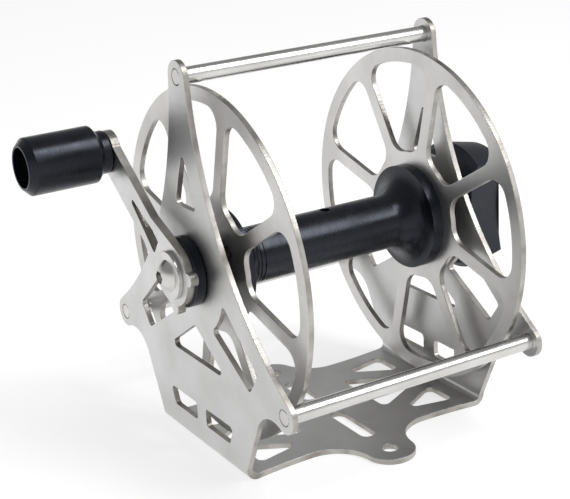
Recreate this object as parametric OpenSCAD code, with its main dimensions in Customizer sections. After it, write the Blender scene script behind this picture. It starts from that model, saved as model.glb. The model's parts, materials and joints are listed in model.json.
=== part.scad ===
// Hand-wound fishing reel: spoked spool in a bent sheet frame, crank on the left, drag knob on the right.
// X runs along the spool's axis (left is -X), -Y is the front, Z is up.
// The origin is on the base's underside, midway between the two bolt holes.

/* [Frame] */
// Gap between the flanges' rims and the base
base_gap = 3.5; // [1:0.25:20]
// Gap between the left flange and the left plate
left_gap = 6; // [4:0.25:12]
// Gap between the right flange and the right plate
right_gap = 4; // [4:0.25:12]
// Thickness of the frame's sheet
sheet_t = 2; // [1.5:0.25:3]
// Outer radius of the two bends
bend_r = 4; // [3.5:0.25:6]
// Radius of the three rounded ears that hold the rods
ear_r = 5.4; // [4.5:0.1:8]
// Gap between the flanges' rims and the rods
rod_gap = 1.75; // [0.5:0.25:8]
// Distance from the axis to the plates' edge where it curves in most
plate_waist_r = 24.6; // [20:0.2:30]
// Half width of the plates at the bends
foot_half_w = 30; // [28:0.5:40]
// Lean of the plates' edges outwards from the bends
foot_lean = 25; // [5:1:30]
// Radius of the curve under each lower ear
foot_curve_r = 11; // [6:0.5:16]
// Diameter of the tie rods
rod_d = 5.5; // [4:0.25:8]

/* [Plate windows] */
// Radius of the corners of the windows in the plates
plate_corner_r = 1.5; // [0.5:0.1:2]
// Height above the axis of the base of the upper triangle
upper_base_z = 21.4; // [18:0.2:26]
// Height of the upper triangle
upper_h = 19.8; // [12:0.2:24]
// Half width of the upper triangle's base
upper_half_w = 7.2; // [4:0.2:8]
// Radius about the axis of the inner end of the two side slots
slot_inner_r = 21.5; // [19:0.5:26]
// Distance from the rods' circle to the outer end of the side slots
slot_end_gap = 17.5; // [14:0.5:26]
// Width of the side slots at the outer end
slot_w = 9.6; // [5:0.2:12]
// Ratio of the side slots' inner width to their outer width
slot_flare = 1.5; // [1:0.05:1.6]
// Angle of the side slots below the level
slot_angle = 36; // [30:1:42]
// Depth below the axis of the middle triangle's tip
middle_tip_z = 19.5; // [17:0.5:24]
// Height of the middle triangle
middle_h = 13; // [8:0.5:15]
// Half width of the middle triangle's base
middle_half_w = 20; // [12:0.5:22]
// Height above the base's underside of the top of the two low windows
low_top_h = 16.3; // [14:0.1:18]
// Height of the two low windows
low_h = 6.5; // [4:0.25:8]
// Width of the web between the two low windows
low_web = 6.4; // [4:0.2:12]
// Width of each low window along its top
low_w = 18.8; // [12:0.2:21]
// Slant of the outer ends of the low windows, as run over height
low_slant = 0.4; // [0:0.05:0.6]

/* [Base] */
// Distance from under the axle to the front bolt hole
bolt_y = 41; // [38:0.5:55]
// How much shorter the rear ear and the rear slot are
rear_short = 5.7; // [0:0.1:8]
// Diameter of the bolt holes
bolt_hole_d = 5.6; // [4.5:0.1:6.6]
// Radius of the bolt ears
bolt_ear_r = 8.7; // [7:0.1:10]
// Half width of the base between its ears and its bends
base_half_w = 28.5; // [26:0.25:30]
// Radius of the curves beside the ears' necks
neck_r = 14; // [9:0.5:16]
// Width of the two slots along the base's middle
mid_slot_w = 5.5; // [3:0.25:8]
// Length of the front slot along the base's middle
mid_slot_l = 23; // [12:1:25]
// Distance between the two middle slots
mid_slot_gap = 14; // [8:1:24]
// Distance from the middle to the flat side of the two side triangles
tri_inner_x = 17; // [12:0.5:22]
// Length of the side triangles
tri_l = 27; // [18:0.5:28]
// Half width of the side triangles
tri_half_w = 14; // [8:0.5:16]
// Distance from the middle to the inner tips of the four corner triangles
corner_tri_x = 21.5; // [20:0.5:26]
// Distance of those tips from the base's middle line
corner_tri_y = 19.5; // [18:0.5:22]
// Length of the corner triangles
corner_tri_l = 18.5; // [12:0.5:18.5]
// Distance from the middle line to the near ends of their outer sides
corner_tri_near = 9; // [8:0.5:12]
// Distance from the middle line to the far ends of their outer sides
corner_tri_far = 23.5; // [22:0.5:25]
// Radius of the corners of the base's windows
base_corner_r = 2; // [0.5:0.25:2.5]

/* [Spool] */
// Diameter of the two flanges
flange_d = 120; // [100:1:150]
// Thickness of the flanges
flange_t = 2; // [1.5:0.25:3]
// Clear width between the flanges
spool_w = 80; // [70:0.5:120]
// Width of the rim of the flanges
rim_w = 5; // [3:0.25:9]
// Radius of the flanges' solid centre
flange_core_r = 23; // [19.5:0.25:26]
// Number of spokes
spoke_count = 8; // [5:1:9]
// Width of the spokes
spoke_w = 5; // [3:0.25:7]
// Angle of the first spoke
spoke_angle = 14.5; // [0:0.5:44.5]
// Corner radius of the flange windows at the rim
window_outer_r = 6; // [3:0.25:7]
// Corner radius of the flange windows at the centre
window_inner_r = 6.5; // [1:0.25:7]
// Diameter of the hub's tube
hub_d = 19.3; // [17:0.1:26]
// Diameter of the lands at the hub's ends
hub_land_d = 37; // [34:0.25:38.5]
// Length of the lands
hub_land_l = 4.3; // [3:0.1:8]
// Length of the flares between tube and lands
hub_flare_l = 9; // [8.6:0.1:12]
// Number of fine grooves turned in the flare on the crank's side
groove_count = 3; // [0:1:4]
// Width of a groove
groove_w = 0.5; // [0.3:0.1:0.8]
// Depth of a groove
groove_depth = 0.3; // [0.1:0.05:0.5]
// Distance from groove to groove
groove_pitch = 1.65; // [1:0.05:2]
// Diameter of the hole that takes the line's end
line_hole_d = 3.6; // [2:0.1:5]
// Distance of the line hole from the hub's middle
line_hole_x = 3; // [-20:0.5:20]

/* [Axle] */
// Diameter of the axle
axle_d = 10; // [9:0.25:11]
// Distance across the flats at the crank
crank_flats = 8; // [7:0.25:8.5]
// Diameter of the thread for the drag knob
drag_thread_d = 8; // [7:0.25:8.5]
// Distance across the flats that key the pressure washer
drag_flats = 6.5; // [5.5:0.25:6.75]
// Radial running clearance of the axle in its bushes and of the knobs
run_gap = 0.05; // [0.02:0.01:0.09]
// Axial clearance between turning and still pieces
side_gap = 0.3; // [0.1:0.05:0.5]
// Outer diameter of the bushes in the plates
bush_d = 13; // [12.5:0.25:15]
// Diameter of the bushes' flanges
bush_flange_d = 20; // [17:0.5:24]
// Thickness of the bushes' flanges
bush_flange_t = 1.5; // [1:0.1:2]
// Diameter of the thrust washers
thrust_d = 17; // [14:0.5:18.5]
// Diameter of the set screw that locks the hub on the axle
set_screw_d = 4; // [3:0.25:5]
// Distance of the set screw from the hub's flare on the crank's side
set_screw_in = 4.7; // [3.5:0.1:12]
// Depth of the set screw's dimple in the axle
dimple = 1; // [0.5:0.1:2]

/* [Flange screws] */
// Diameter of the circle of screws
screw_pcd = 27; // [25:0.25:29]
// Screws in each flange
screw_count = 4; // [3:1:6]
// Thread diameter of the screws
screw_d = 3; // [2.5:0.5:4]
// Diameter of the countersunk screw heads
screw_head_d = 5.6; // [5:0.1:6]
// Length of the screws in the hub
screw_l = 3.8; // [2.5:0.1:4]

/* [Crank] */
// Gap between the turning knob's path and the plane of the base's underside
knob_gap = 0.5; // [0.5:0.25:8]
// Angle of the arm above the back
crank_angle = 36; // [0:1:359]
// Thickness of the arm
arm_t = 3; // [2:0.25:4]
// Half width of the outer part of the arm
arm_half_w = 6.1; // [5:0.1:7]
// Angle by which the arm's sides flare towards the boss
arm_flare = 14; // [10:1:25]
// Radius of the arm's tip
arm_tip_r = 7.2; // [6.2:0.1:8]
// Radius of the arm's boss
boss_r = 10.7; // [9:0.1:11.5]
// Distance from the axle to the tips of the boss's two lobes
lobe_tip_r = 13.8; // [12.5:0.1:15]
// Width of the lobes
lobe_w = 4.6; // [3:0.1:6]
// Angle from the arm to the upper lobe
upper_lobe_angle = 138; // [110:1:150]
// Angle from the arm to the lower lobe
lower_lobe_angle = 129; // [110:1:150]
// Distance from the axle to the near end of the arm's window
arm_window_x = 12; // [11:0.25:15]
// Length of the arm's window
arm_window_l = 26; // [15:0.5:28]
// Half width of the arm's window at its near end
arm_window_half_w = 3.6; // [2:0.1:4.5]
// Radius of the corners of the arm's window
arm_window_corner_r = 0.9; // [0.5:0.1:1.2]
// Diameter of the black disc behind the arm
disc_d = 23.8; // [21:0.2:30]
// Distance from the plate's outer face to the arm
disc_t = 4; // [2.5:0.25:6]
// Diameter of the crank's washer
washer_d = 16.4; // [14:0.2:18]
// Thickness of the crank's washer
washer_t = 1.6; // [1:0.1:2.5]
// Thread diameter of the crank's screw
crank_screw_d = 6; // [5:0.5:6]
// Diameter of its button head
crank_head_d = 10.8; // [9:0.1:12]
// Height of its button head
crank_head_h = 3.3; // [2.5:0.1:4]
// Distance across its hexagon socket
crank_socket = 4; // [3:0.5:5]
// Depth of its hexagon socket
crank_socket_depth = 2.3; // [1.5:0.1:2.4]
// Length of the screw in the axle
crank_screw_l = 14; // [8:1:20]

/* [Knob] */
// Diameter of the crank knob
knob_d = 20; // [16:0.5:26]
// Distance from the arm to the knob's outer end
knob_l = 31; // [24:0.5:45]
// Diameter of the knob's neck beside the arm
knob_neck_d = 15; // [12:0.5:16]
// Length of the neck
knob_neck_l = 3; // [1:0.25:6]
// Length of the cone between neck and grip
knob_cone_l = 2.2; // [1:0.1:4]
// Width of the bevel around the outer end
knob_bevel = 2.3; // [0.5:0.1:2.5]
// Diameter of the counterbore in the outer end
knob_hollow_d = 13.8; // [11:0.2:14]
// Depth of the counterbore
knob_hollow_l = 12; // [8:0.5:16]
// Diameter of the spindle
spindle_d = 6; // [5:0.25:7]
// Diameter of the spindle's head
spindle_head_d = 10; // [8:0.25:10.5]
// Height of the spindle's head
spindle_head_h = 4; // [3:0.25:6]
// Distance across the hexagon socket in the spindle's head
spindle_socket = 3; // [2:0.5:5]
// Depth of the socket in the spindle's head
spindle_socket_depth = 2.4; // [1.5:0.1:2.8]
// Thickness of the washer under the spindle's head
knob_washer_t = 1; // [0.5:0.1:2]

/* [Drag] */
// Distance between the tips of the drag knob's wings, at its inner face
drag_d = 46.6; // [38:0.2:56]
// Width of the drag knob at its waist, at its inner face
drag_waist = 26.6; // [24:0.2:34]
// Radius of the hollow long sides
drag_side_r = 73; // [50:1:100]
// Thickness of the drag knob
drag_t = 14.3; // [10:0.1:18]
// Angle by which the drag knob narrows outwards
drag_draft = 11; // [0:0.5:12]
// Width of the bevel round its inner end
drag_bevel = 2; // [0.5:0.1:3]
// Thickness of the friction washer
friction_t = 2; // [1:0.25:3]
// Diameter of the friction and pressure washers
friction_d = 26; // [22:0.5:32]
// Thickness of the pressure washer
pressure_t = 2; // [1.5:0.25:3]
// Diameter of the spring washers
spring_d = 18; // [15:0.5:22]
// Thickness of one spring washer
spring_t = 0.7; // [0.5:0.1:1]
// Rise of one spring washer's cone
spring_rise = 0.3; // [0.2:0.1:0.5]
// Number of spring washers
spring_count = 4; // [2:2:6]
// Outer diameter of the brass insert
insert_d = 13; // [11:0.5:15]
// Depth of the skin that closes the knob's outer face
drag_skin = 1.5; // [1:0.25:2.5]

/* [Hidden] */

$fn = 96;
// Overrun of cutting shapes
cut = 1;
// Bevel on turned edges, and on the axle's threaded end
bevel = 0.3;
thread_bevel = 1;
// Radial gap of pieces that sit firmly, and of the screws in their flange holes
seat_gap = 0.02;
hole_gap = 0.2;
steel = "#b9b6b0";
black = "#1d1e21";
brass = "#b08d4a";
fibre = "#3a322c";

// Frame: it takes its width, height and rods' places from the spool and the gaps around it
flange_r = flange_d / 2;
axis_h = sheet_t + base_gap + flange_r;
frame_w = spool_w + 2 * flange_t + left_gap + right_gap + 2 * sheet_t;
spool_shift = (left_gap - right_gap) / 2;
rod_pitch_r = flange_r + rod_gap + rod_d / 2;
plate_out = frame_w / 2;
plate_in = plate_out - sheet_t;

// Plates: places seen along X, with the axis at the origin
ear_angles = [90, 210, 330];
function polar(r, a) = r * [cos(a), sin(a)];
function unit(v) = v / norm(v);
ear_top = polar(rod_pitch_r, ear_angles[0]);
ear_side = polar(rod_pitch_r, ear_angles[2]);
// The curved edge touches two neighbouring ears and the waist circle
edge_angle = (ear_angles[0] + ear_angles[2] - 360) / 2;
edge_d = (pow(rod_pitch_r, 2) - pow(plate_waist_r - ear_r, 2))
    / (2 * (rod_pitch_r * cos(ear_angles[0] - edge_angle) - plate_waist_r + ear_r));
edge_r = edge_d - plate_waist_r;
edge_centre = polar(edge_d, edge_angle);
// The curve under a lower ear touches the ear and the leaning edge of the foot
bend_z = bend_r - axis_h;
foot_start = [foot_half_w, bend_z];
foot_side = polar(foot_curve_r, -foot_lean);
foot_up = polar(1, 90 - foot_lean);
foot_ear = foot_start + foot_side - ear_side;
foot_run = -foot_ear * foot_up
    - sqrt(pow(foot_ear * foot_up, 2) - foot_ear * foot_ear + pow(foot_curve_r + ear_r, 2));
foot_centre = foot_start + foot_side + foot_run * foot_up;

// Windows of a plate and of the base
low_in = low_web / 2;
low_out = low_in + low_w;
low_top_z = axis_h - low_top_h;
low_floor_z = low_top_z + low_h;
slot_outer_r = rod_pitch_r - slot_end_gap;
middle_base_z = middle_tip_z + middle_h;
corner_tri_out = corner_tri_x + corner_tri_l;

// Base: distances of the bolt holes and lengths of the slots, rear and front
ear_y = [bolt_y - rear_short, bolt_y];
slot_l = [max(mid_slot_l - rear_short, 1.2 * mid_slot_w), mid_slot_l];
bend_x = plate_out - bend_r;
least_rise = 0.3;
flank_rise = max(foot_half_w - base_half_w, least_rise);

// Spool: places along X
spool_in_l = spool_shift - spool_w / 2;
spool_in_r = spool_shift + spool_w / 2;
spool_out_l = spool_in_l - flange_t;
spool_out_r = spool_in_r + flange_t;
window_r = flange_r - rim_w;
window_half_a = 180 / spoke_count;
// The inner corners are no rounder than a half round between the spokes
window_round_r = (flange_core_r * sin(window_half_a) - spoke_w / 2) / (1 - sin(window_half_a)) - seat_gap;
window_in_r = min(window_inner_r, window_round_r);
screw_hole_d = screw_d + 2 * hole_gap;
// The heads are right-angled cones that stay inside the flange's thickness
screw_sink = min((screw_head_d - screw_d) / 2, 0.9 * flange_t);
screw_socket = 2 * screw_d / 3;

// Hub: the flare is an arc that leaves the tube smoothly and ends at the land
land_x = spool_w / 2 - hub_land_l;
flare_x = land_x - hub_flare_l;
flare_rise = (hub_land_d - hub_d) / 2 - bevel;
flare_r = (pow(hub_flare_l, 2) + pow(flare_rise, 2)) / (2 * flare_rise);
function flare_height(x) = hub_d / 2 + flare_r - sqrt(pow(flare_r, 2) - pow(max(x - flare_x, 0), 2));
set_screw_x = spool_shift - flare_x + set_screw_in;
set_socket = set_screw_d / 2;

// Crank: places along X, outwards from the left plate
arm_in = -plate_out - disc_t;
arm_out = arm_in - arm_t;
washer_out = arm_out - washer_t;
crank_l = axis_h - knob_d / 2 - knob_gap;
crank_end = polar(crank_l, crank_angle);
knob_in = arm_out - side_gap;
knob_out = arm_out - knob_l;
knob_floor = knob_out + knob_hollow_l;
knob_washer_d = (spindle_head_d + knob_hollow_d) / 2;
spindle_seat = knob_floor - side_gap - knob_washer_t;
spindle_out = spindle_seat - spindle_head_h;

// Drag: places along X, outwards from the right plate
pressure_in = plate_out + friction_t + side_gap / 2;
spring_in = pressure_in + pressure_t;
spring_l = spring_count * (spring_t + spring_rise);
drag_in = spring_in + spring_l;
insert_l = drag_t - drag_skin;
thread_l = insert_l - thread_bevel;

// Points of an arc from angle a to angle b
function arc(c, r, a, b, n = 12) = [for (i = [0:n]) c + polar(r, a + (b - a) * i / n)];
function heading(v) = atan2(v.y, v.x);
function heading_up(v) = heading(v) < 0 ? heading(v) + 360 : heading(v);
function flip(points) = [for (i = [len(points) - 1:-1:0]) [-points[i].x, points[i].y]];
function flip_y(points) = [for (i = [len(points) - 1:-1:0]) [points[i].x, -points[i].y]];

// Arc that rounds corner b between its neighbours a and c
function corner(a, b, c, r, n) =
    let (u = unit(a - b), w = unit(c - b), half = acos(u * w) / 2)
    let (mid = b + unit(u + w) * r / sin(half))
    let (start = b + u * r / tan(half) - mid, stop = b + w * r / tan(half) - mid)
    let (turn = atan2(start.x * stop.y - start.y * stop.x, start * stop))
    arc(mid, r, heading(start), heading(start) + turn, n);

// Closed outline with every corner rounded
function rounded(points, r, n = 6) =
    let (k = len(points))
    [for (i = [0:k - 1]) each corner(points[(i + k - 1) % k], points[i], points[(i + 1) % k], r, n)];

// Carries what is drawn in the plane across the axis: Y to the right, Z up, thickness along X
module along_x(x) {
    translate([x, 0, axis_h]) rotate([90, 0, 90]) children();
}

// Round bar or washer about the spool's axis
module ring(x, l, d, bore = 0) {
    along_x(x) difference() {
        cylinder(h = l, d = d);
        if (bore > 0) translate([0, 0, -cut]) cylinder(h = l + 2 * cut, d = bore);
    }
}

// Circle with two flats, for keyed shaft ends and their holes
module flatted(d, flats) {
    intersection() {
        circle(d = d);
        square([flats, 2 * d], center = true);
    }
}

// Outline of a side plate, with the axis at the origin
module plate_outline() {
    top_a = heading(edge_centre - ear_top);
    side_a = heading(edge_centre - ear_side);
    under_a = heading(foot_centre - ear_side);
    edge_from = heading_up(ear_side - edge_centre);
    edge_to = heading_up(ear_top - edge_centre);
    right = concat(
        arc(foot_centre, foot_curve_r, 180 - foot_lean, heading(ear_side - foot_centre), 14),
        arc(ear_side, ear_r, under_a, side_a, 20),
        arc(edge_centre, edge_r, edge_from, edge_to, 24),
        arc(ear_top, ear_r, top_a, ear_angles[0], 10));
    foot = [[foot_half_w, bend_z - cut], foot_start];
    polygon(concat(foot, right, flip(right), flip(foot)));
}

// Windows of a side plate
module plate_windows() {
    upper = [[-upper_half_w, upper_base_z], [upper_half_w, upper_base_z], [0, upper_base_z + upper_h]];
    middle = [[0, -middle_tip_z], [-middle_half_w, -middle_base_z], [middle_half_w, -middle_base_z]];
    low = [[low_in, -low_top_z], [low_in, -low_floor_z],
        [low_out - low_h * low_slant, -low_floor_z], [low_out, -low_top_z]];
    polygon(rounded(upper, plate_corner_r));
    polygon(rounded(middle, plate_corner_r));
    for (s = [0, 1]) mirror([s, 0]) {
        side_slot();
        polygon(rounded(low, plate_corner_r));
    }
}

// Slanting slot between the axle and a lower ear, its inner end concentric with the axle
module side_slot() {
    spread = asin(slot_w * slot_flare / 2 / slot_inner_r);
    inner = arc([0, 0], slot_inner_r, spread - slot_angle, -spread - slot_angle, 4);
    far = polar(slot_outer_r, -slot_angle);
    side = polar(slot_w / 2, 90 - slot_angle);
    polygon(rounded(concat(inner, [far - side, far + side]), plate_corner_r));
}

// One end of the base's plan, round the ear at distance y; the neck's curve touches ear and edge
function base_end(y) =
    let (ear = [0, y], neck_y = base_half_w + neck_r)
    let (neck_x = sqrt(pow(bolt_ear_r + neck_r, 2) - pow(neck_y - y, 2)), neck = [neck_x, neck_y])
    let (flank_r = (pow(bend_x - neck_x, 2) + pow(flank_rise, 2)) / (2 * flank_rise))
    let (flank_a = asin((bend_x - neck_x) / flank_r))
    let (side = concat(
        [[plate_out, foot_half_w]],
        arc([neck_x, base_half_w + flank_r], flank_r, 270 + flank_a, 270, 10),
        arc(neck, neck_r, 270, heading_up(ear - neck), 14),
        arc(ear, bolt_ear_r, heading(neck - ear), 90, 14)))
    concat(side, flip(side));

// Plan of the base with its two bolt ears
module base_outline() {
    polygon(concat(base_end(ear_y[0]), flip_y(base_end(ear_y[1]))));
}

// Windows of the base
module base_windows() {
    corner_tri = [[corner_tri_x, corner_tri_y], [corner_tri_out, corner_tri_near],
        [corner_tri_out, corner_tri_far]];
    side_tri = [[tri_inner_x, tri_half_w], [tri_inner_x, -tri_half_w], [tri_inner_x + tri_l, 0]];
    for (s = [0, 1]) mirror([0, s]) {
        translate([0, ear_y[s]]) circle(d = bolt_hole_d);
        translate([0, mid_slot_gap / 2 + slot_l[s] / 2]) mid_slot(slot_l[s] - mid_slot_w);
        for (t = [0, 1]) mirror([t, 0]) polygon(rounded(corner_tri, base_corner_r));
    }
    for (t = [0, 1]) mirror([t, 0]) polygon(rounded(side_tri, base_corner_r));
}

module mid_slot(run) {
    square([mid_slot_w, run], center = true);
    for (s = [-1, 1]) translate([0, s * run / 2]) circle(d = mid_slot_w);
}

// Section of the bent sheet, seen along Y
module sheet_section() {
    difference() {
        bent_outline(frame_w, bend_r, 0);
        bent_outline(frame_w - 2 * sheet_t, bend_r - sheet_t, sheet_t);
    }
}

module bent_outline(w, r, floor_z) {
    top = axis_h + rod_pitch_r + ear_r + cut;
    translate([-w / 2, floor_z + r]) square([w, top - r]);
    translate([-w / 2 + r, floor_z]) square([w - 2 * r, top]);
    for (s = [-1, 1]) translate([s * (w / 2 - r), floor_z + r]) circle(r = r);
}

module frame() {
    depth = 2 * (rod_pitch_r + ear_r + bolt_y);
    color(steel) difference() {
        intersection() {
            translate([0, depth / 2, 0]) rotate([90, 0, 0]) linear_extrude(depth) sheet_section();
            union() {
                along_x(-plate_out - cut) linear_extrude(frame_w + 2 * cut) difference() {
                    plate_outline();
                    plate_windows();
                }
                linear_extrude(bend_r) difference() {
                    base_outline();
                    base_windows();
                }
            }
        }
        along_x(-plate_out - cut) for (a = ear_angles) translate(polar(rod_pitch_r, a))
            cylinder(h = frame_w + 2 * cut, d = rod_d + 2 * seat_gap);
        ring(-plate_out - cut, frame_w + 2 * cut, bush_d + 2 * seat_gap);
    }
}

// Tie rod, flush with both plates
module rod(a) {
    color(steel) along_x(-plate_out) translate(polar(rod_pitch_r, a)) rotate_extrude()
        polygon([[0, 0], [rod_d / 2 - bevel, 0], [rod_d / 2, bevel], [rod_d / 2, frame_w - bevel],
            [rod_d / 2 - bevel, frame_w], [0, frame_w]]);
}
module rod_top() { rod(ear_angles[0]); }
module rod_front() { rod(ear_angles[1]); }
module rod_rear() { rod(ear_angles[2]); }

// Flanged bush, pressed into a plate from inside; side is -1 for the left plate and 1 for the right
module bush(side) {
    bore_r = axle_d / 2 + run_gap;
    color(black) translate([0, 0, axis_h]) rotate([90, 0, 90 * side])
        rotate_extrude() translate([0, plate_in])
            polygon([[bore_r, -bush_flange_t], [bush_flange_d / 2, -bush_flange_t], [bush_flange_d / 2, 0],
                [bush_d / 2, 0], [bush_d / 2, sheet_t], [bore_r, sheet_t]]);
}
module bush_left() { bush(-1); }
module bush_right() { bush(1); }

module friction_washer() {
    color(fibre) ring(plate_out, friction_t, friction_d, axle_d + 2 * side_gap);
}

// Axle: crank flats on the left, drag thread with key flats on the right
module axle() {
    round_in = -plate_out - side_gap;
    thread_r = drag_thread_d / 2;
    color(steel) difference() {
        union() {
            ring(round_in, plate_out - round_in, axle_d);
            along_x(arm_out + bevel) linear_extrude(round_in - arm_out - bevel + cut)
                flatted(axle_d, crank_flats);
            along_x(plate_out - cut) linear_extrude(drag_in - plate_out + cut)
                flatted(drag_thread_d, drag_flats);
            along_x(drag_in) rotate_extrude() polygon([[0, 0], [thread_r, 0],
                [thread_r, thread_l - thread_bevel], [thread_r - thread_bevel, thread_l], [0, thread_l]]);
        }
        ring(arm_out - cut, crank_screw_l + side_gap + cut, crank_screw_d + 2 * seat_gap);
        set_screw_hole();
    }
}

// Drilling under the axis for the set screw, from the hub's tube into the axle's dimple
module set_screw_hole() {
    translate([set_screw_x, 0, axis_h - hub_d])
        cylinder(h = hub_d - axle_d / 2 + dimple, d = set_screw_d + 2 * seat_gap);
}

// Half of the hub's profile, from the middle to one end
module hub_profile() {
    difference() {
        square([hub_land_d / 2, spool_w / 2]);
        translate([hub_d / 2, -cut]) square([hub_land_d, flare_x + cut]);
        intersection() {
            translate([hub_d / 2 + flare_r, flare_x]) circle(r = flare_r);
            translate([hub_d / 2, flare_x]) square([hub_land_d, hub_flare_l]);
        }
    }
}

module hub() {
    color(black) difference() {
        along_x(spool_shift) rotate_extrude() difference() {
            union() for (s = [0, 1]) mirror([0, s]) hub_profile();
            for (i = [0:1:groove_count - 1]) groove(flare_x + i * groove_pitch);
        }
        ring(spool_in_l - cut, spool_w + 2 * cut, axle_d + 2 * seat_gap);
        set_screw_hole();
        translate([spool_shift + line_hole_x, 0, axis_h]) cylinder(h = hub_d, d = line_hole_d);
        for (s = [-1, 1]) along_x(spool_shift + s * spool_w / 2) screw_places()
            cylinder(h = 2 * (screw_l + bevel), d = screw_d + 2 * seat_gap, center = true);
    }
}

module groove(x) {
    translate([flare_height(x) - groove_depth, -x - groove_w / 2]) square([hub_land_d, groove_w]);
}

module hub_set_screw() {
    tip = axis_h - axle_d / 2 + dimple - seat_gap;
    foot = axis_h - hub_d / 2 + 2 * bevel;
    color(steel) translate([set_screw_x, 0, foot]) difference() {
        cylinder(h = tip - foot, d = set_screw_d);
        translate([0, 0, -cut]) cylinder(h = set_socket + cut, d = set_socket / cos(30), $fn = 6);
    }
}

module screw_places() {
    for (i = [0:screw_count - 1]) rotate(spoke_angle + 360 * (i + 0.5) / screw_count)
        translate([screw_pcd / 2, 0]) children();
}

// One window between two spokes, its middle on the first axis
module flange_window() {
    outer_r = window_r - window_outer_r;
    inner_r = flange_core_r + window_in_r;
    outer_a = window_half_a - asin((window_outer_r + spoke_w / 2) / outer_r);
    inner_a = window_half_a - asin((window_in_r + spoke_w / 2) / inner_r);
    half = concat(
        arc([0, 0], window_r, 0, outer_a, 9),
        arc(polar(outer_r, outer_a), window_outer_r, outer_a, window_half_a + 90, 8),
        arc(polar(inner_r, inner_a), window_in_r, window_half_a + 90, inner_a + 180, 8),
        arc([0, 0], flange_core_r, inner_a, 0, 3));
    polygon(concat(half, flip_y(half)));
}

// Places a flange or its screws, outer face at height 0; side is -1 for the left and 1 for the right
module flange_place(side) {
    along_x(side < 0 ? spool_out_l : spool_out_r) mirror([0, 0, side < 0 ? 1 : 0]) children();
}

// Spoked side disc of the spool with countersunk screw holes
module flange(side) {
    color(steel) flange_place(side) difference() {
        translate([0, 0, -flange_t]) linear_extrude(flange_t) difference() {
            circle(r = flange_r, $fn = 180);
            for (i = [0:spoke_count - 1]) rotate(spoke_angle + window_half_a * (2 * i + 1)) flange_window();
            circle(d = axle_d + 2 * seat_gap);
        }
        screw_places() translate([0, 0, -flange_t - cut]) cylinder(h = flange_t + 2 * cut, d = screw_hole_d);
        screw_places() translate([0, 0, -screw_sink])
            cylinder(h = 2 * screw_sink, d1 = screw_d + 2 * seat_gap, d2 = 2 * screw_head_d - screw_d + 2 * seat_gap);
    }
}
module flange_left() { flange(-1); }
module flange_right() { flange(1); }

// Countersunk screws with hexagon sockets that hold one flange on the hub
module flange_screws(side) {
    tip = -flange_t - screw_l;
    color(steel) flange_place(side) screw_places() difference() {
        rotate_extrude($fn = 48) polygon([[0, tip], [screw_d / 2, tip], [screw_d / 2, -screw_sink],
            [screw_head_d / 2, 0], [0, 0]]);
        translate([0, 0, -screw_sink]) cylinder(h = screw_sink + cut, d = screw_socket / cos(30), $fn = 6);
    }
}
module flange_screws_left() { flange_screws(-1); }
module flange_screws_right() { flange_screws(1); }

module thrust_washer_left() {
    bush_in = -plate_in + bush_flange_t;
    color(fibre) ring(bush_in + side_gap, spool_out_l - bush_in - side_gap, thrust_d, axle_d + 2 * seat_gap);
}
module thrust_washer_right() {
    bush_in = plate_in - bush_flange_t;
    color(fibre) ring(spool_out_r, bush_in - side_gap - spool_out_r, thrust_d, axle_d + 2 * seat_gap);
}

module crank_disc() {
    back = disc_t - side_gap;
    color(black) along_x(arm_in) difference() {
        rotate_extrude() polygon([[0, 0], [disc_d / 2 - bevel, 0], [disc_d / 2, bevel],
            [disc_d / 2, back - bevel], [disc_d / 2 - bevel, back], [0, back]]);
        crank_key(disc_t);
    }
}

// Keyed hole for the axle's crank flats, through a piece of thickness l
module crank_key(l) {
    translate([0, 0, -cut]) linear_extrude(l + 2 * cut)
        flatted(axle_d + 2 * seat_gap, crank_flats + 2 * seat_gap);
}

// Arm, drawn along the first axis and turned to the crank's angle
module crank_arm() {
    lobe = arc([lobe_tip_r - lobe_w / 2, 0], lobe_w / 2, -90, 90);
    flare_x = boss_r * sin(arm_flare) + (boss_r * cos(arm_flare) - arm_half_w) / tan(arm_flare);
    body = concat(arc([0, 0], boss_r, 90 - arm_flare, 270 + arm_flare, 44), [[flare_x, -arm_half_w],
        [crank_l, -arm_half_w], [crank_l, arm_half_w], [flare_x, arm_half_w]]);
    window = [[arm_window_x, -arm_window_half_w], [arm_window_x + arm_window_l, 0],
        [arm_window_x, arm_window_half_w]];
    color(steel) along_x(arm_out) rotate(crank_angle) difference() {
        union() {
            linear_extrude(arm_t) polygon(body);
            for (a = [upper_lobe_angle, -lower_lobe_angle]) rotate(a) linear_extrude(arm_t)
                polygon(concat([[0, -lobe_w / 2]], lobe, [[0, lobe_w / 2]]));
            translate([crank_l, 0]) cylinder(h = arm_t, r = arm_tip_r);
        }
        rotate(-crank_angle) crank_key(arm_t);
        translate([crank_l, 0, -cut]) cylinder(h = arm_t + 2 * cut, d = spindle_d + 2 * seat_gap);
        translate([0, 0, -cut]) linear_extrude(arm_t + 2 * cut) polygon(rounded(window, arm_window_corner_r));
    }
}

module crank_washer() {
    color(steel) ring(washer_out, washer_t, washer_d, crank_screw_d + 2 * seat_gap);
}

// Button screw with a hexagon socket
module crank_screw() {
    dome_r = (pow(crank_head_d / 2, 2) + pow(crank_head_h, 2)) / (2 * crank_head_h);
    color(steel) along_x(washer_out) difference() {
        union() {
            rotate_extrude() intersection() {
                translate([0, dome_r - crank_head_h]) circle(r = dome_r);
                translate([0, -crank_head_h]) square([crank_head_d / 2, crank_head_h]);
            }
            cylinder(h = washer_t + crank_screw_l, d = crank_screw_d);
        }
        translate([0, 0, -crank_head_h - cut])
            cylinder(h = crank_socket_depth + cut, d = crank_socket / cos(30), $fn = 6);
    }
}

// Carries what belongs to the crank knob's axis
module at_knob(x) {
    along_x(x) translate(crank_end) children();
}

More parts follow.
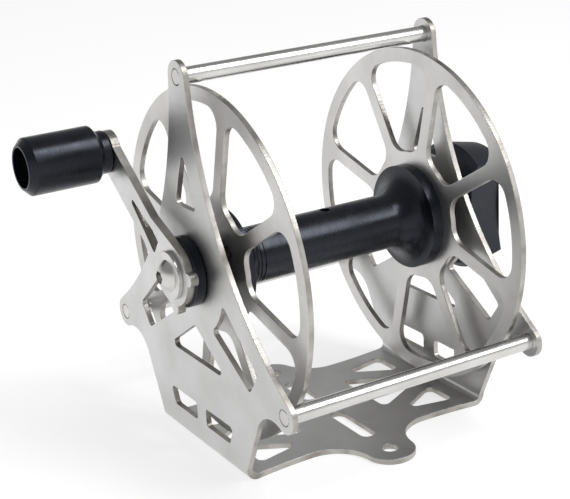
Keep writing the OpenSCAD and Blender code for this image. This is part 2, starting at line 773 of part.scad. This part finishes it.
module knob_spindle() {
    color(steel) at_knob(0) difference() {
        rotate_extrude() polygon([[0, arm_in], [spindle_d / 2, arm_in], [spindle_d / 2, spindle_seat],
            [spindle_head_d / 2, spindle_seat], [spindle_head_d / 2, spindle_out + bevel],
            [spindle_head_d / 2 - bevel, spindle_out], [0, spindle_out]]);
        translate([0, 0, spindle_out - cut])
            cylinder(h = spindle_socket_depth + cut, d = spindle_socket / cos(30), $fn = 6);
    }
}

module knob_washer() {
    color(steel) at_knob(spindle_seat) difference() {
        cylinder(h = knob_washer_t, d = knob_washer_d);
        translate([0, 0, -cut]) cylinder(h = knob_washer_t + 2 * cut, d = spindle_d + 2 * seat_gap);
    }
}

module knob() {
    neck = knob_in - knob_neck_l;
    collar_r = knob_neck_d / 2;
    bore_r = spindle_d / 2 + run_gap;
    color(black) at_knob(0) rotate_extrude() polygon([
        [bore_r, knob_in], [collar_r - bevel, knob_in], [collar_r, knob_in - bevel],
        [collar_r, neck], [knob_d / 2, neck - knob_cone_l],
        [knob_d / 2, knob_out + knob_bevel], [knob_d / 2 - knob_bevel, knob_out],
        [knob_hollow_d / 2, knob_out], [knob_hollow_d / 2, knob_floor], [bore_r, knob_floor]]);
}

module pressure_washer() {
    color(steel) along_x(pressure_in) linear_extrude(pressure_t) difference() {
        circle(d = friction_d);
        flatted(drag_thread_d + 2 * run_gap, drag_flats + 2 * run_gap);
    }
}

// Coned spring washers, stacked rim to rim and eye to eye
module disc_springs() {
    eye = drag_thread_d / 2 + side_gap;
    pitch = spring_t + spring_rise;
    color(steel) for (i = [0:spring_count - 1]) along_x(spring_in + i * pitch)
        translate([0, 0, i % 2 == 0 ? 0 : pitch]) mirror([0, 0, i % 2])
            rotate_extrude() polygon([[eye, spring_rise], [spring_d / 2, 0], [spring_d / 2, spring_t],
                [eye, spring_t + spring_rise]]);
}

// Winged drag knob: a turned cone with two hollow sides and a blind hole for the insert
module drag_knob() {
    side_x = drag_waist / 2 + drag_side_r / cos(drag_draft);
    color(black) along_x(drag_in) difference() {
        rotate_extrude() polygon([[0, 0], [drag_d / 2 - drag_bevel, 0], [drag_d / 2, drag_bevel],
            [drag_d / 2 - (drag_t - drag_bevel) * tan(drag_draft), drag_t], [0, drag_t]]);
        for (s = [-1, 1]) translate([s * side_x, 0]) rotate([0, -s * drag_draft, 0])
            cylinder(h = 4 * drag_t, r = drag_side_r, center = true, $fn = 180);
        translate([0, 0, -cut]) cylinder(h = insert_l + cut, d = insert_d + 2 * seat_gap);
    }
}

module drag_nut() {
    color(brass) ring(drag_in, insert_l, insert_d, drag_thread_d + 2 * run_gap);
}

frame();
rod_top();
rod_front();
rod_rear();
bush_left();
bush_right();
friction_washer();
axle();
hub();
hub_set_screw();
flange_left();
flange_right();
flange_screws_left();
flange_screws_right();
thrust_washer_left();
thrust_washer_right();
crank_disc();
crank_arm();
crank_washer();
crank_screw();
knob_spindle();
knob();
knob_washer();
pressure_washer();
disc_springs();
drag_knob();
drag_nut();
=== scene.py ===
import json
import math

import bmesh
import bpy
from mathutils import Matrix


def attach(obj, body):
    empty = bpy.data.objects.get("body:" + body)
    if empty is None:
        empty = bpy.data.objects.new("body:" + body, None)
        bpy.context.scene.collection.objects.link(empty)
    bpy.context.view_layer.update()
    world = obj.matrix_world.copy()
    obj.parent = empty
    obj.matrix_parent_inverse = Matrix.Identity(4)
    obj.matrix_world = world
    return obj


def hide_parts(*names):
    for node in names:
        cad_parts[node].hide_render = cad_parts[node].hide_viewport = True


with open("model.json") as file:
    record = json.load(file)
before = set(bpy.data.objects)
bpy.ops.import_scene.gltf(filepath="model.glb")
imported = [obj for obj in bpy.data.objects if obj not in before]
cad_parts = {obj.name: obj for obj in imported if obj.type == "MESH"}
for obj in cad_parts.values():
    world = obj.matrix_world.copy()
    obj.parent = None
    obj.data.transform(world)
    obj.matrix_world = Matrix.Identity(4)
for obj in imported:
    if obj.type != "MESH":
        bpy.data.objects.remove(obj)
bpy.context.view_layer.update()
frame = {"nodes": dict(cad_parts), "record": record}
nodes = frame["nodes"]
record = frame["record"]
scene = bpy.context.scene
scene.view_settings.view_transform = "Standard"
mm = 0.001
nodeBody = {n: body for body, names in record["behaviour"]["bodies"].items() for n in names}
nodeSlot = {part["node"]: part["material_slot"] for part in record["subparts"]}
print("reel: solids loaded,", len(nodes), "nodes")


def linearColour(hexText):
    parts = [int(hexText[i:i + 2], 16) / 255 for i in (1, 3, 5)]
    return [c / 12.92 if c <= 0.04045 else ((c + 0.055) / 1.055) ** 2.4 for c in parts] + [1.0]


# adds a node, sets its settings, and feeds its inputs with values or other nodes' outputs
def addNode(tree, kind, settings=None, feeds=None):
    node = tree.nodes.new(kind)
    for name, value in (settings or {}).items():
        setattr(node, name, value)
    for name, value in (feeds or {}).items():
        if isinstance(value, bpy.types.NodeSocket):
            tree.links.new(value, node.inputs[name])
        else:
            node.inputs[name].default_value = value
    return node


def emptyMaterial(name):
    material = bpy.data.materials.new(name)
    material.use_nodes = True
    material.node_tree.nodes.clear()
    return material, material.node_tree


noiseSpan = (0.3, 0.7)  # where most values of a noise pattern lie


# spreads a span of a pattern's values over a new range
def spread(tree, value, span, new=(0.0, 1.0)):
    return addNode(tree, "ShaderNodeMapRange", None,
                   {"Value": value, "From Min": span[0], "From Max": span[1],
                    "To Min": new[0], "To Max": new[1]}).outputs[0]


# a noise pattern whose grains are about the given size in mm
def noise(tree, place, size, detail, settings=None, more=None):
    feeds = {"Vector": place, "Scale": 1 / (size * mm), "Detail": detail}
    feeds.update(more or {})
    return addNode(tree, "ShaderNodeTexNoise", settings, feeds).outputs[0]


def calculate(tree, operation, first, second, third=0.0):
    return addNode(tree, "ShaderNodeMath", {"operation": operation},
                   {0: first, 1: second, 2: third}).outputs[0]


def mixColours(tree, share, first, second):
    return addNode(tree, "ShaderNodeMix", {"data_type": "RGBA"},
                   {0: share, 6: linearColour(first), 7: linearColour(second)}).outputs[2]


def raised(tree, height, depth):
    return addNode(tree, "ShaderNodeBump", None,
                   {"Height": height, "Distance": depth * mm, "Strength": 1.0}).outputs[0]


def finishWith(tree, feeds):
    body = addNode(tree, "ShaderNodeBsdfPrincipled", None, feeds)
    addNode(tree, "ShaderNodeOutputMaterial", None, {"Surface": body.outputs[0]})


# camera: where the photograph was taken from, in metres and degrees
photoView = {
    "place": (-0.24732, -0.40072, 0.22704),
    "turn": (70.6652, 2.96, -31.3976),
    "lens": 91.14,       # mm, as is the sensor's width
    "sensor": 36,
    "clip": (0.01, 20),  # nearest and farthest seen
}
camera = bpy.data.objects.new("camera", bpy.data.cameras.new("camera"))
camera.location = photoView["place"]
camera.rotation_euler = [math.radians(a) for a in photoView["turn"]]
camera.data.sensor_width = photoView["sensor"]
camera.data.lens = photoView["lens"]
camera.data.clip_start, camera.data.clip_end = photoView["clip"]
scene.collection.objects.link(camera)
scene.camera = camera
print("reel: camera set")

# floor and studio light
studio = {
    "floorHalf": 4.0,          # metres
    "floorDrop": 0.00005,      # the floor lies just under the base
    "floorColour": "#b4b4b4",  # what the floor gives back to the lamps, and so its shadow's depth
    "floorGlow": 0.66,         # lifts the seen floor to white
    "fillLevel": 0.55,         # level of the room's light on dull surfaces
    "horizonLevel": 1.0,       # how bright the room looks in polished surfaces, at its horizon
    "overheadLevel": 0.30,     # and overhead
    "fallOff": 0.45,           # height in the room, 0 to 1, from which it counts as overhead
    "lamps": [
        # name, place, aimed at, width, height, watts
        ("front strip box", (0.43, -0.52, 0.65), (0.0, 0.0, 0.065), 0.28, 0.42, 2.9),
        ("overhead box", (0.30, -0.36, 0.95), (0.0, 0.0, 0.065), 0.30, 0.26, 2.2),
    ],
}


def floorMaterial():
    material, tree = emptyMaterial("Pale paper sweep")
    path = addNode(tree, "ShaderNodeLightPath")
    seen = calculate(tree, "MAXIMUM", path.outputs["Is Camera Ray"], path.outputs["Is Glossy Ray"])
    seen = calculate(tree, "MAXIMUM", seen, path.outputs["Is Transmission Ray"])
    lift = calculate(tree, "MULTIPLY", seen, studio["floorGlow"])
    paper = addNode(tree, "ShaderNodeBsdfDiffuse", None, {"Color": linearColour(studio["floorColour"])})
    glow = addNode(tree, "ShaderNodeEmission", None, {"Color": (1, 1, 1, 1), "Strength": lift})
    both = addNode(tree, "ShaderNodeAddShader", None, {0: paper.outputs[0], 1: glow.outputs[0]})
    addNode(tree, "ShaderNodeOutputMaterial", None, {"Surface": both.outputs[0]})
    return material


def makeFloor():
    bm = bmesh.new()
    bmesh.ops.create_grid(bm, x_segments=1, y_segments=1, size=studio["floorHalf"])
    bmesh.ops.translate(bm, verts=bm.verts, vec=(0, 0, -studio["floorDrop"]))
    mesh = bpy.data.meshes.new("floor")
    bm.to_mesh(mesh)
    bm.free()
    floor = bpy.data.objects.new("floor", mesh)
    mesh.materials.append(floorMaterial())
    scene.collection.objects.link(floor)


def makeRoom():
    world = bpy.data.worlds.new("white room")
    world.use_nodes = True
    tree = world.node_tree
    tree.nodes.clear()
    path = addNode(tree, "ShaderNodeLightPath")
    plain = calculate(tree, "MAXIMUM", path.outputs["Is Camera Ray"], path.outputs["Is Transmission Ray"])
    # polished surfaces see a white sweep all round that falls off overhead
    where = addNode(tree, "ShaderNodeSeparateXYZ", None,
                    {0: addNode(tree, "ShaderNodeTexCoord").outputs["Generated"]})
    glossy = addNode(tree, "ShaderNodeMapRange", {"interpolation_type": "SMOOTHSTEP"},
                     {"Value": where.outputs["Z"], "From Min": 0.0, "From Max": studio["fallOff"],
                      "To Min": studio["horizonLevel"], "To Max": studio["overheadLevel"]})
    level = addNode(tree, "ShaderNodeMix", None,
                    {0: path.outputs["Is Glossy Ray"], 2: studio["fillLevel"], 3: glossy.outputs[0]})
    level = addNode(tree, "ShaderNodeMix", None, {0: plain, 2: level.outputs[0], 3: 1.0})
    light = addNode(tree, "ShaderNodeBackground", None,
                    {"Color": (1, 1, 1, 1), "Strength": level.outputs[0]})
    addNode(tree, "ShaderNodeOutputWorld", None, {"Surface": light.outputs[0]})
    scene.world = world


def makeLamps():
    for name, place, aim, width, height, watts in studio["lamps"]:
        lamp = bpy.data.lights.new(name, "AREA")
        lamp.shape = "RECTANGLE"
        lamp.size = width
        lamp.size_y = height
        lamp.energy = watts
        holder = bpy.data.objects.new(name, lamp)
        holder.location = place
        ray = [a - p for a, p in zip(aim, place)]
        flat = math.hypot(ray[0], ray[1])
        holder.rotation_euler = (math.atan2(flat, -ray[2]), 0, math.atan2(-ray[0], ray[1]))
        scene.collection.objects.link(holder)


makeFloor()
makeRoom()
makeLamps()
print("reel: floor and light set")

# steels: colours, sizes of the pattern in mm, and the range of roughness
steelFinishes = {
    # tumbled sheet: even satin grey with a fine grain, faint cloudy patches and a few hairlines
    "stainless_sheet": {
        "name": "Stainless sheet, tumbled", "pale": "#d9d9d9", "deep": "#cbcbca", "cloud": 26,
        "grain": 0.55, "lay": (1, 1, 1), "rough": (0.30, 0.42), "relief": 0.012, "hairlines": 0.5},
    "stainless_disc": {
        "name": "Stainless disc, tumbled", "pale": "#dad9d8", "deep": "#cccbca", "cloud": 22, "grain": 0.5,
        "lay": (1, 1, 1), "rough": (0.30, 0.42), "relief": 0.012, "hairlines": 0.5},
    "stainless_arm": {
        "name": "Stainless arm, tumbled", "pale": "#d9d9d9", "deep": "#cbcbca", "cloud": 14, "grain": 0.5,
        "lay": (1, 1, 1), "rough": (0.28, 0.38), "relief": 0.010, "hairlines": 0.6},
    # drawn bar: brighter, with fine lines along its length
    "stainless_bar": {
        "name": "Stainless bar, drawn", "pale": "#d8d7d5", "deep": "#c9c8c5", "cloud": 18, "grain": 0.4,
        "lay": (0.02, 1, 1), "rough": (0.20, 0.28), "relief": 0.006, "hairlines": 0.2},
    # turned and pressed steel: bright satin with little pattern
    "screw_steel": {
        "name": "Stainless screw, turned", "pale": "#d6d5d3", "deep": "#c5c4c1", "cloud": 5, "grain": 0.3,
        "lay": (1, 1, 1), "rough": (0.20, 0.30), "relief": 0.005, "hairlines": 0.2},
}
# mm and degrees; real hairlines are finer. "shown" is the span in which the pattern becomes a line
hairline = {"width": 0.3, "length": 14, "angles": (25, -50, 80), "shown": (0.66, 0.74)}
steelTones = (0.35, 0.65)  # span of the cloud pattern from the pale to the deep colour
grainShare = 0.6           # of the roughness; the clouds have the rest


def hairlines(tree, place):
    along = 1 / (hairline["length"] * mm)
    across = 1 / (hairline["width"] * mm)
    lines = None
    for angle in hairline["angles"]:
        turned = addNode(tree, "ShaderNodeMapping", None,
                         {"Vector": place, "Rotation": [math.radians(angle)] * 3,
                          "Scale": (along, across, along)})
        streak = addNode(tree, "ShaderNodeTexNoise", None,
                         {"Vector": turned.outputs[0], "Scale": 1.0, "Detail": 0.0})
        sparse = spread(tree, streak.outputs[0], hairline["shown"])
        lines = sparse if lines is None else calculate(tree, "MAXIMUM", lines, sparse)
    return lines


def steelMaterial(look):
    material, tree = emptyMaterial(look["name"])
    place = addNode(tree, "ShaderNodeTexCoord").outputs["Object"]
    laid = addNode(tree, "ShaderNodeMapping", None, {"Vector": place, "Scale": look["lay"]}).outputs[0]
    cloud = noise(tree, place, look["cloud"], 3.0, more={"Roughness": 0.55})
    grain = noise(tree, laid, look["grain"], 2.0, more={"Roughness": 0.6})
    lines = calculate(tree, "MULTIPLY", hairlines(tree, place), look["hairlines"])
    clouds = calculate(tree, "MULTIPLY", cloud, 1 - grainShare)
    fine = calculate(tree, "MULTIPLY_ADD", grain, grainShare, clouds)
    height = calculate(tree, "SUBTRACT", grain, lines)
    finishWith(tree, {
        "Base Color": mixColours(tree, spread(tree, cloud, steelTones), look["pale"], look["deep"]),
        "Metallic": 1.0,
        "Roughness": spread(tree, fine, noiseSpan, look["rough"]),
        "Normal": raised(tree, height, look["relief"])})
    return material


# laser-cut edge of the sheet: fine ridges across the thickness and a slightly warm tint; its colours are
# set darker than the sheet's as painted shade for the shaded walls of the windows
shadedCutEdge = {
    # pale and deep sit below the sheet's colours: painted shade of the window walls
    "pale": "#bbb8b3", "deep": "#86827b", "tones": (0.4, 0.75), "ridge": 0.4, "patch": 9,
    "rough": (0.32, 0.5), "relief": 0.03,
    "draw": 0.05}  # how far the ridges are drawn out across the thickness; 1 is not at all


def cutEdgeMaterial(name, across):
    material, tree = emptyMaterial(name)
    place = addNode(tree, "ShaderNodeTexCoord").outputs["Object"]
    laid = addNode(tree, "ShaderNodeMapping", None, {"Vector": place, "Scale": across}).outputs[0]
    ridge = noise(tree, laid, shadedCutEdge["ridge"], 2.0)
    patch = noise(tree, place, shadedCutEdge["patch"], 2.0)
    tone = spread(tree, patch, shadedCutEdge["tones"])
    # the base colour carries the painted shade of the cut walls
    finishWith(tree, {
        "Base Color": mixColours(tree, tone, shadedCutEdge["pale"], shadedCutEdge["deep"]),
        "Metallic": 1.0,
        "Roughness": spread(tree, ridge, noiseSpan, shadedCutEdge["rough"]),
        "Normal": raised(tree, ridge, shadedCutEdge["relief"])})
    return material


# black acetal: satin, with faint wear and fine turning lines round the piece's own axis (Y and Z in mm)
spoolAxis = (0, 65.5)
knobAxis = (44.496, 97.828)
acetal = {
    "sheen": "#d2d9ea",      # the faint blue of its highlights
    "ior": 1.48,
    "wear": 7,               # size of the worn patches in mm
    "tones": (0.45, 0.75),   # span of the wear pattern from the plain to the worn colour
    "sumSpan": (0.7, 1.3),   # where most of the two patterns' sum lies
}
acetalFinishes = {
    "turned": {
        "name": "Black acetal, turned", "axis": spoolAxis, "colour": "#090b11", "worn": "#11141b",
        "line": 0.35, "rough": (0.24, 0.32), "relief": 0.002},
    "knob": {
        "name": "Black acetal, turned knob", "axis": knobAxis, "colour": "#090b11", "worn": "#11141b",
        "line": 0.35, "rough": (0.24, 0.32), "relief": 0.003},
    "milled": {
        "name": "Charcoal acetal, milled", "axis": spoolAxis, "colour": "#17191e", "worn": "#202329",
        "line": 0.9, "rough": (0.42, 0.55), "relief": 0.008},
}


# distance along X and distance from the axis, so that a pattern in them runs round the piece
def lathePlace(tree, place, axis):
    centred = addNode(tree, "ShaderNodeMapping", None,
                      {"Vector": place, "Location": (0, -axis[0] * mm, -axis[1] * mm)})
    parts = addNode(tree, "ShaderNodeSeparateXYZ", None, {0: centred.outputs[0]}).outputs
    flat = addNode(tree, "ShaderNodeCombineXYZ", None, {1: parts["Y"], 2: parts["Z"]})
    radius = addNode(tree, "ShaderNodeVectorMath", {"operation": "LENGTH"}, {0: flat.outputs[0]})
    return addNode(tree, "ShaderNodeCombineXYZ", None,
                   {0: parts["X"], 1: radius.outputs["Value"]}).outputs[0]


def acetalMaterial(look):
    material, tree = emptyMaterial(look["name"])
    place = addNode(tree, "ShaderNodeTexCoord").outputs["Object"]
    lathe = lathePlace(tree, place, look["axis"])
    line = noise(tree, lathe, look["line"], 2.0, {"noise_dimensions": "2D"})
    patch = noise(tree, place, acetal["wear"], 4.0)
    both = calculate(tree, "ADD", line, patch)
    finishWith(tree, {
        "Base Color": mixColours(tree, spread(tree, patch, acetal["tones"]), look["colour"], look["worn"]),
        "Roughness": spread(tree, both, acetal["sumSpan"], look["rough"]),
        "IOR": acetal["ior"],
        "Specular Tint": linearColour(acetal["sheen"]),
        "Normal": raised(tree, line, look["relief"])})
    return material


# brass and fibre: a speckle of two colours over an even body
speckleTones = (0.4, 0.6)  # span of the speckle from the first to the second colour
speckleFinishes = {
    "brass": {
        "name": "Brass, turned", "colours": ("#c6a35a", "#ab8742"), "speck": 0.6, "metal": 1.0,
        "rough": (0.22, 0.34), "relief": 0.01},
    "fibre": {
        "name": "Pressed fibre", "colours": ("#1d1c1b", "#141312"), "speck": 0.5, "metal": 0.0,
        "rough": (0.7, 0.9), "relief": 0.01},
}


def speckleMaterial(look):
    material, tree = emptyMaterial(look["name"])
    place = addNode(tree, "ShaderNodeTexCoord").outputs["Object"]
    speck = noise(tree, place, look["speck"], 3.0)
    finishWith(tree, {
        "Base Color": mixColours(tree, spread(tree, speck, speckleTones), *look["colours"]),
        "Metallic": look["metal"],
        "Roughness": spread(tree, speck, noiseSpan, look["rough"]),
        "Normal": raised(tree, speck, look["relief"])})
    return material


finishes = {slot: steelMaterial(look) for slot, look in steelFinishes.items()}
finishes.update({slot: speckleMaterial(look) for slot, look in speckleFinishes.items()})
finishes["black_acetal"] = acetalMaterial(acetalFinishes["turned"])
ownFinish = {
    "knob": acetalMaterial(acetalFinishes["knob"]),
    "drag_knob": acetalMaterial(acetalFinishes["milled"]),
}
edgeAlongX = cutEdgeMaterial("Laser-cut edge, plates", (shadedCutEdge["draw"], 1, 1))
edgeAlongZ = cutEdgeMaterial("Laser-cut edge, base", (1, 1, shadedCutEdge["draw"]))
for name, node in nodes.items():
    node.data.materials.clear()
    node.data.materials.append(ownFinish.get(name, finishes[nodeSlot[name]]))
print("reel: finishes made,", len(bpy.data.materials), "materials")

# edges: lengths in mm and angles in degrees
edges = {
    "sharp": 30,         # angle from which an edge counts as sharp
    "flat": 0.4,         # angle up to which two faces count as one
    "merge": 0.002,      # distance at which points count as one
    "segments": 2,
    "widths": {          # of the worn edge
        "frame": 0.22, "flange_left": 0.2, "flange_right": 0.2, "crank_arm": 0.3, "crank_washer": 0.2,
        "drag_knob": 0.8, "knob": 0.25, "rod_top": 0.3, "rod_front": 0.3, "rod_rear": 0.3},
    "bendRadius": 4.0,
    "frameHalf": 49.0,
    "across": 0.5,       # a face is a cut wall if its normal leans less than this out of the sheet
    "bendAcross": 0.7,   # and in the bend if its normal leans more than this along Y
}


# tells the cut walls of a sheet piece from its faces: 0 for a face, 1 across X, 2 across Z
def cutWall(nodeName, centre, normal):
    if nodeName in ("flange_left", "flange_right", "crank_arm"):
        return 1 if abs(normal.x) < edges["across"] else 0
    if nodeName != "frame":
        return 0
    bend = edges["bendRadius"] * mm
    if centre.z > bend:
        return 1 if abs(normal.x) < edges["across"] else 0
    if abs(centre.x) < edges["frameHalf"] * mm - bend:
        return 2 if abs(normal.z) < edges["across"] else 0
    return 1 if abs(normal.y) > edges["bendAcross"] else 0


def softCopy(nodeName, width):
    source = nodes[nodeName]
    bm = bmesh.new()
    bm.from_mesh(source.data)
    bmesh.ops.remove_doubles(bm, verts=bm.verts, dist=edges["merge"] * mm)
    bmesh.ops.dissolve_limit(bm, angle_limit=math.radians(edges["flat"]), verts=bm.verts, edges=bm.edges)
    for face in bm.faces:
        face.material_index = cutWall(nodeName, face.calc_center_median(), face.normal)
    sharp = [e for e in bm.edges if len(e.link_faces) == 2
             and e.calc_face_angle() > math.radians(edges["sharp"])]
    bmesh.ops.bevel(bm, geom=sharp, offset=width * mm, offset_type="OFFSET", affect="EDGES",
                    segments=edges["segments"], profile=0.5, material=-1, clamp_overlap=True)
    for face in bm.faces:
        face.smooth = True
    mesh = bpy.data.meshes.new(nodeName + "_piece")
    bm.to_mesh(mesh)
    bm.free()
    piece = bpy.data.objects.new(nodeName + "_piece", mesh)
    for material in (source.data.materials[0], edgeAlongX, edgeAlongZ):
        mesh.materials.append(material)
    scene.collection.objects.link(piece)
    normals = piece.modifiers.new("even faces", "WEIGHTED_NORMAL")
    normals.keep_sharp = True
    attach(piece, nodeBody[nodeName])
    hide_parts(nodeName)
    return piece


for nodeName, width in edges["widths"].items():
    piece = softCopy(nodeName, width)
    print("reel: edges softened on", nodeName, len(piece.data.polygons), "faces")
